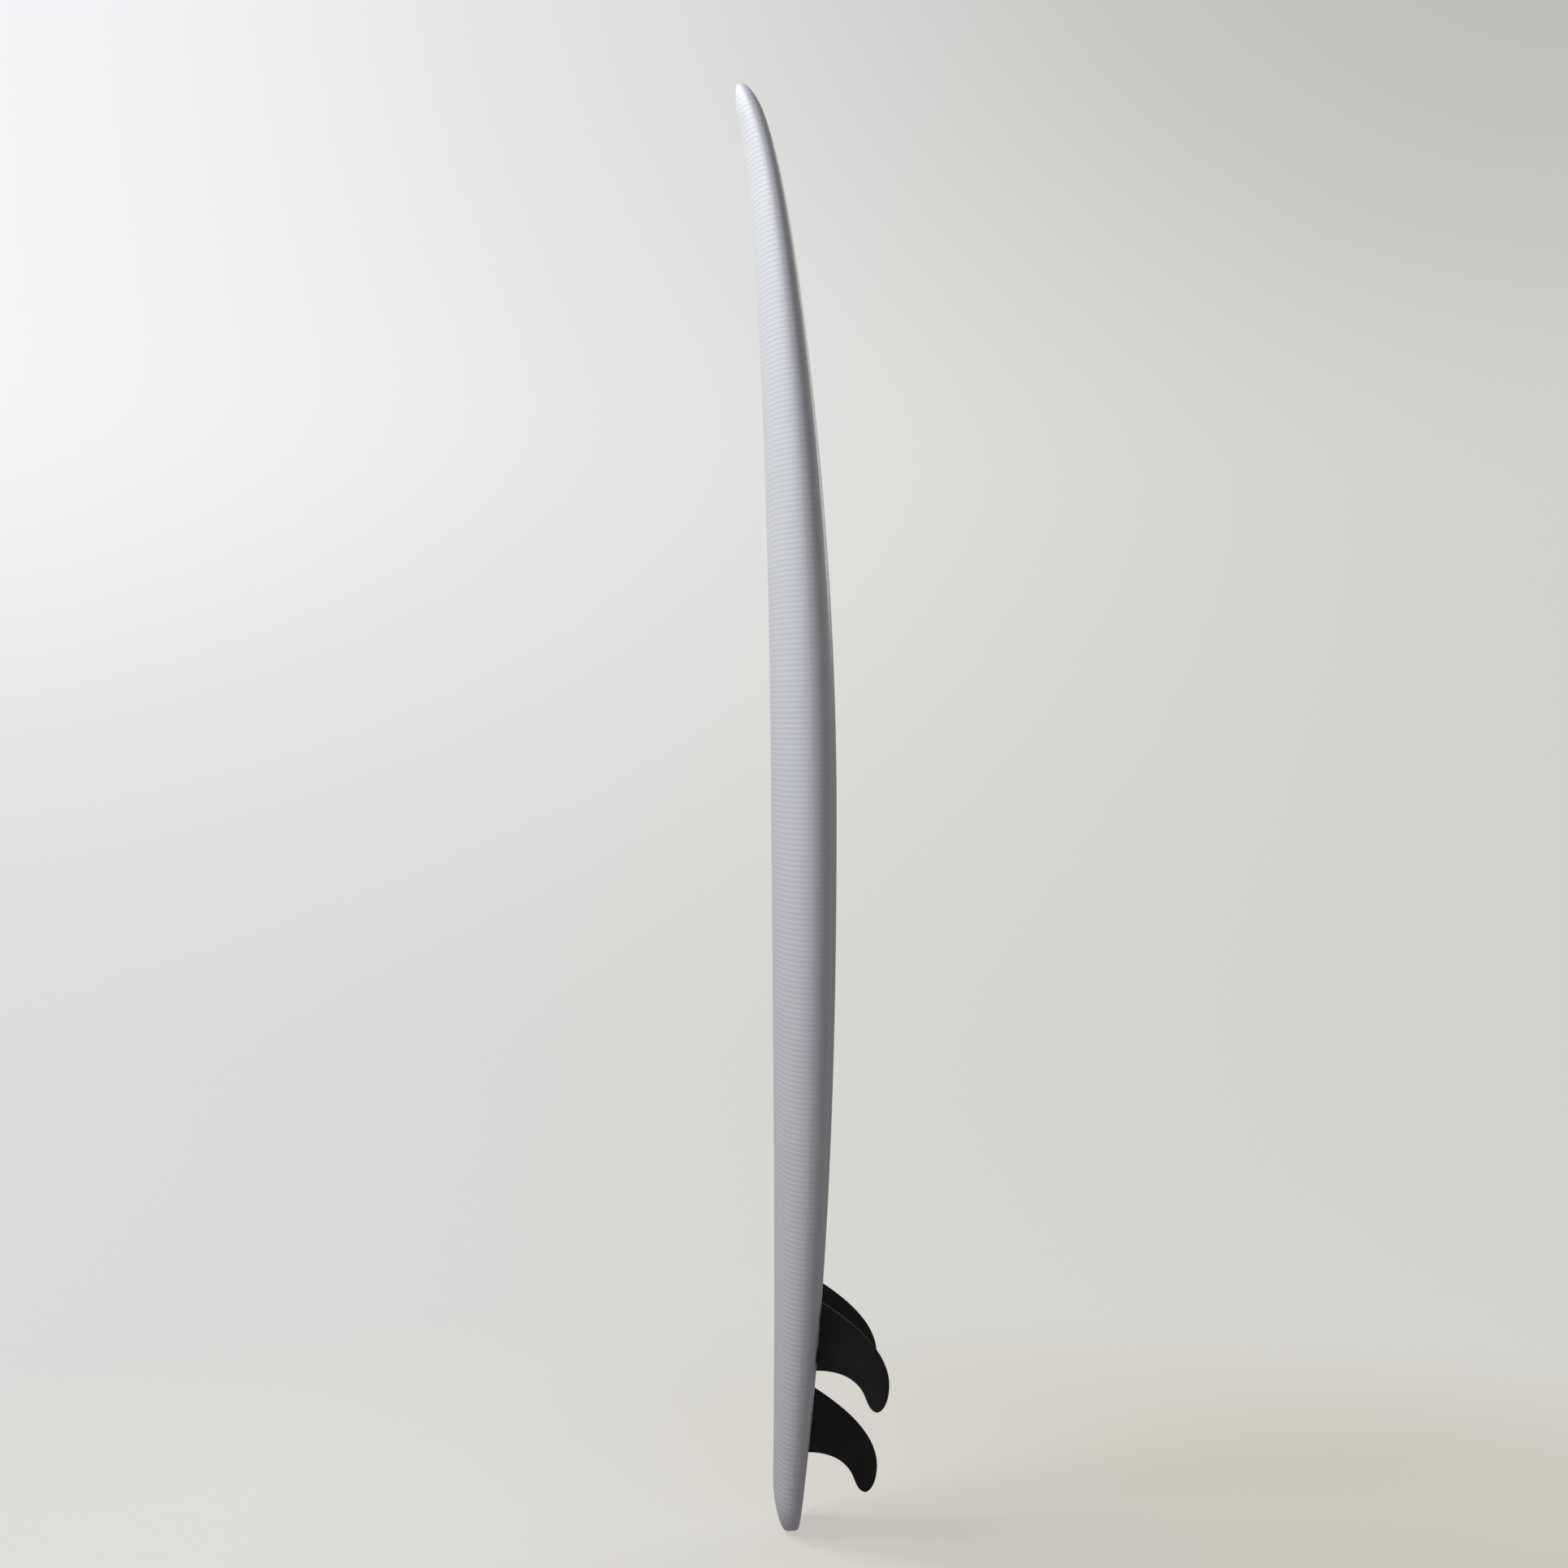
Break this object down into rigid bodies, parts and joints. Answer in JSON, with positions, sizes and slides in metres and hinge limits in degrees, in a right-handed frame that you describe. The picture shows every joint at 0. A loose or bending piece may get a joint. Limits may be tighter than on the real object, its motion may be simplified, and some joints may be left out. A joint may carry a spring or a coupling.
{
  "type": "surfboard",
  "caption": "Soft-top surfboard with a foam-skinned deck and rails, slick bottom, stringers, removable three-fin set in slotted plugs with grub screws, and a leash plug.",
  "frame": {"origin": "lowest point of the board: the middle of the small flat at the end of the tail, on the middle plane", "axes": "+Z along the board from tail to nose; +X out of the bottom, on the side of the fins; -X out of the deck; +Y towards the rail on a rider's left"},
  "size_m": [0.2336, 0.5488, 2.286],
  "materials": {
    "skin": "matte",
    "slick": "satin",
    "core": "matte",
    "stringer": "matte",
    "fin": "satin",
    "plug": "satin",
    "steel": "satin"
  },
  "bodies": {
    "board": {"deck_skin": "skin", "bottom_slick": "slick", "core_left_rail": "core", "core_left": "core", "core_right": "core", "core_right_rail": "core", "stringer_centre": "stringer", "stringer_left": "stringer", "stringer_right": "stringer", "leash_plug": "plug", "leash_bar": "steel", "plug_centre_front": "plug", "plug_centre_rear": "plug", "plug_left_front": "plug", "plug_left_rear": "plug", "plug_right_front": "plug", "plug_right_rear": "plug"},
    "fin_centre": {"fin_centre": "fin"},
    "fin_left": {"fin_left": "fin"},
    "fin_right": {"fin_right": "fin"},
    "screw_centre_front": {"screw_centre_front": "steel"},
    "screw_centre_rear": {"screw_centre_rear": "steel"},
    "screw_left_front": {"screw_left_front": "steel"},
    "screw_left_rear": {"screw_left_rear": "steel"},
    "screw_right_front": {"screw_right_front": "steel"},
    "screw_right_rear": {"screw_right_rear": "steel"}
  },
  "joints": [
    {"name": "fin_centre_slide", "type": "slide", "parent": "board", "child": "fin_centre", "axis": [0.996, 0, -0.0895], "range_m": [0, 0.016]},
    {"name": "fin_left_slide", "type": "slide", "parent": "board", "child": "fin_left", "axis": [0.9909, 0.1038, -0.0858], "range_m": [0, 0.016]},
    {"name": "fin_right_slide", "type": "slide", "parent": "board", "child": "fin_right", "axis": [0.9909, -0.1038, -0.0858], "range_m": [0, 0.016]},
    {"name": "screw_centre_front_turn", "type": "hinge", "parent": "board", "child": "screw_centre_front", "pos_m": [0.0324, 0.0069, 0.20124], "axis": [0.8626, 0.5, -0.0775], "range_deg": [0, 720]},
    {"name": "screw_centre_rear_turn", "type": "hinge", "parent": "board", "child": "screw_centre_rear", "pos_m": [0.02721, 0.0069, 0.14347], "axis": [0.8626, 0.5, -0.0775], "range_deg": [0, 720]},
    {"name": "screw_left_front_turn", "type": "hinge", "parent": "board", "child": "screw_left_front", "pos_m": [0.04313, 0.13322, 0.35376], "axis": [0.9075, -0.4068, -0.1049], "range_deg": [0, 720]},
    {"name": "screw_left_rear_turn", "type": "hinge", "parent": "board", "child": "screw_left_rear", "pos_m": [0.03782, 0.13624, 0.29608], "axis": [0.9075, -0.4068, -0.1049], "range_deg": [0, 720]},
    {"name": "screw_right_front_turn", "type": "hinge", "parent": "board", "child": "screw_right_front", "pos_m": [0.04313, -0.13322, 0.35376], "axis": [0.9075, 0.4068, -0.1049], "range_deg": [0, 720]},
    {"name": "screw_right_rear_turn", "type": "hinge", "parent": "board", "child": "screw_right_rear", "pos_m": [0.03782, -0.13624, 0.29608], "axis": [0.9075, 0.4068, -0.1049], "range_deg": [0, 720]}
  ]
}
